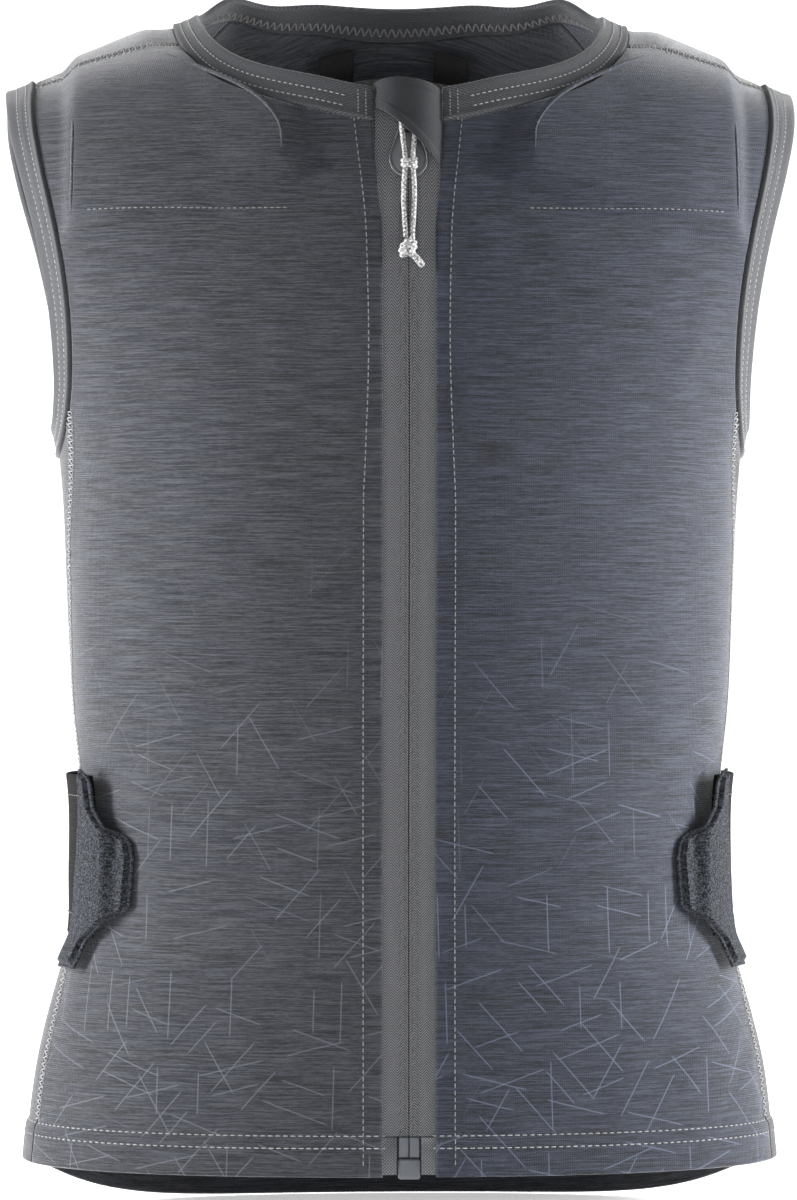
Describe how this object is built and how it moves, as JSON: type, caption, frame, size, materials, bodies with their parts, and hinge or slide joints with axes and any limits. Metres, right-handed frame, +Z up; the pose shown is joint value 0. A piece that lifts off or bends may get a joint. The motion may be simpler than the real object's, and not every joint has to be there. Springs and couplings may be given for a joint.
{
  "type": "protective vest",
  "caption": "Sleeveless zip-up vest of stretch cloth with shoulder pads, a pocketed back protector and an elastic belt with felt tabs, worn under sports clothing.",
  "frame": {"origin": "on the middle plane, at the height where the neck meets the shoulders, where the wearer's shoulders carry the vest", "axes": "+Z up the body, -Y out of the chest, +X towards the wearer's left"},
  "size_m": [0.3396, 0.1779, 0.527],
  "materials": {
    "heather_jersey": "matt heathered stretch jersey",
    "binding_cloth": "matt folded stretch binding",
    "tape_cloth": "matt herringbone weave",
    "coil_plastic": "satin moulded",
    "end_film": "half-gloss film over woven tape",
    "box_plastic": "satin moulded",
    "slider_metal": "satin dark grey paint",
    "puller_plastic": "satin moulded",
    "cord_braid": "fine light grey braid",
    "garage_twill": "matt fine twill",
    "belt_elastic": "smooth matt elastic",
    "tab_felt": "speckled pressed felt",
    "pad_foam": "matt soft foam",
    "pocket_cloth": "matt dark mesh lining",
    "loop_tape": "matt black woven tape"
  },
  "bodies": {
    "root": {"front_panel_left": "heather_jersey", "front_panel_right": "heather_jersey", "back_panel": "heather_jersey", "shoulder_yoke_left": "heather_jersey", "shoulder_yoke_right": "heather_jersey", "neck_binding": "binding_cloth", "armhole_binding_left": "binding_cloth", "armhole_binding_right": "binding_cloth", "zip_tape_left": "tape_cloth", "zip_tape_right": "tape_cloth", "zip_coil_left": "coil_plastic", "zip_coil_right": "coil_plastic", "tape_end_left": "end_film", "tape_end_right": "end_film", "end_pin_left": "box_plastic", "end_pin_right": "box_plastic", "end_box": "box_plastic", "zip_slider": "slider_metal", "zip_puller": "puller_plastic", "cord_strand_left": "cord_braid", "cord_strand_right": "cord_braid", "cord_wrap": "cord_braid", "cord_knot": "cord_braid", "zip_garage": "garage_twill", "kidney_belt": "belt_elastic", "belt_tab_left": "tab_felt", "belt_tab_right": "tab_felt", "shoulder_pad_left": "pad_foam", "shoulder_pad_right": "pad_foam", "back_protector": "pad_foam", "protector_pocket": "pocket_cloth", "hanger_loop_left": "loop_tape", "hanger_loop_right": "loop_tape"}
  },
  "joints": []
}
